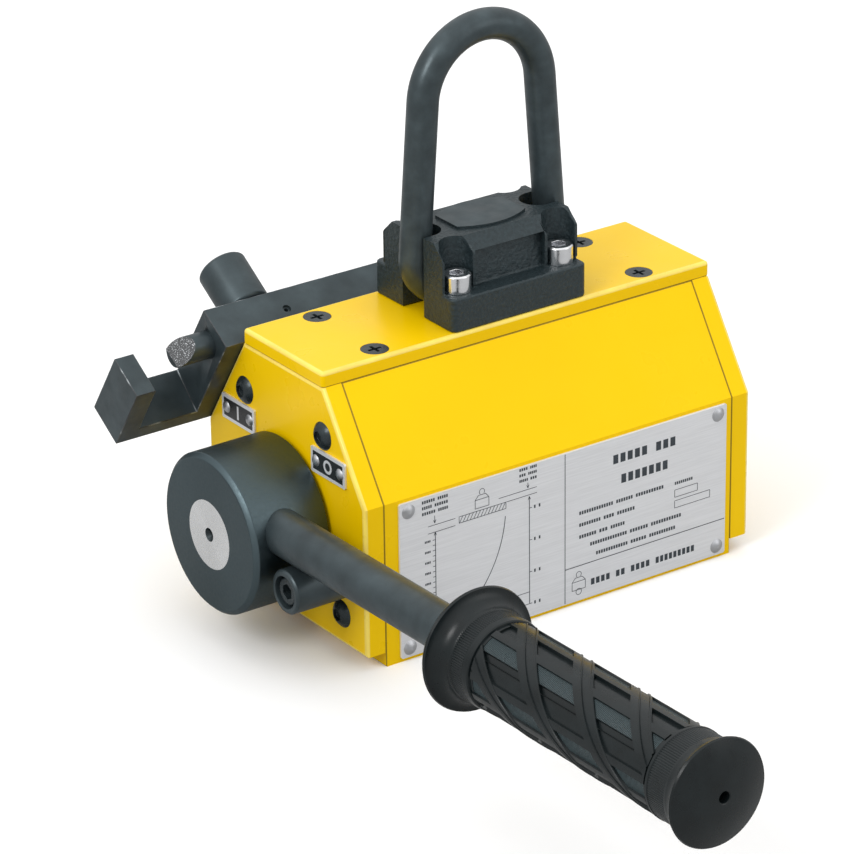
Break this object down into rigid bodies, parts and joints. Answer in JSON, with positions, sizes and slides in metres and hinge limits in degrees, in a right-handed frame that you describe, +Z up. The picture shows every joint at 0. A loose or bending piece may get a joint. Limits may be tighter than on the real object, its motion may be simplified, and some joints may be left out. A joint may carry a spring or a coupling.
{
  "type": "switchable lifting magnet",
  "caption": "Hand-switched permanent lifting magnet: yellow block with pole faces, turning lever with rubber grip, sprung latch and bolted lifting ring.",
  "frame": {"origin": "centre of the pole faces that meet the load, at the bottom of the block", "axes": "+Z up through the lifting ring; +X along the block away from the lever hub; -Y is the nameplate side, where the lever lies when the magnet is off"},
  "size_m": [0.2084, 0.3314, 0.2084],
  "materials": {
    "yellow_paint": "gloss",
    "black_steel": "satin, oil blackened",
    "cast_black": "matt, fine cast grain",
    "bright_steel": "turned",
    "zinc": "zinc plated",
    "black_screw": "satin black",
    "plate_silver": "satin, printed",
    "rubber_black": "satin",
    "bronze": "turned",
    "magnet_grey": "ground"
  },
  "bodies": {
    "housing": {"front_pole": "yellow_paint", "rear_pole": "yellow_paint", "pole_spacer": "bronze", "stator_magnets": "magnet_grey", "hub_end_plate": "yellow_paint", "far_end_plate": "yellow_paint", "top_plate": "yellow_paint", "top_plate_screws": "black_screw", "hub_end_screws": "black_screw", "far_end_screws": "black_screw", "hub_end_bush": "bronze", "far_end_bush": "bronze", "nameplate": "plate_silver", "nameplate_rivets": "plate_silver", "on_label": "plate_silver", "off_label": "plate_silver", "label_rivets": "plate_silver", "stop_post": "black_steel", "stop_screw": "black_screw", "saddle": "cast_black", "saddle_screws": "zinc", "latch_bar": "black_steel", "latch_bar_screws": "black_screw", "latch_set_screw": "bright_steel", "latch_spring": "bright_steel"},
    "lever": {"rotor_shaft": "bright_steel", "rotor_far_journal": "bright_steel", "rotor_front_pole": "bright_steel", "rotor_rear_pole": "bright_steel", "rotor_magnets": "magnet_grey", "rotor_screws": "black_screw", "lever_hub": "black_steel", "hub_key": "bright_steel", "hub_grub_screw": "black_screw", "lever_rod": "black_steel", "lever_grip": "rubber_black"},
    "latch": {"latch_bolt": "black_steel", "latch_knob": "black_steel"},
    "ring": {"lifting_ring": "cast_black"}
  },
  "joints": [
    {"name": "lever_turn", "type": "hinge", "parent": "housing", "child": "lever", "pos_m": [-0.083, 0, 0.043], "axis": [-1, 0, 0], "range_deg": [0, 105]},
    {"name": "latch_slide", "type": "slide", "parent": "housing", "child": "latch", "axis": [1, 0, 0], "range_m": [0, 0.018], "stiffness_N_per_m": 250, "springref_m": -0.012, "deforming": ["latch_spring"]},
    {"name": "ring_rock", "type": "hinge", "parent": "housing", "child": "ring", "pos_m": [0.0015, 0, 0.1102], "axis": [1, 0, 0], "range_deg": [-1.5, 1.5]}
  ]
}
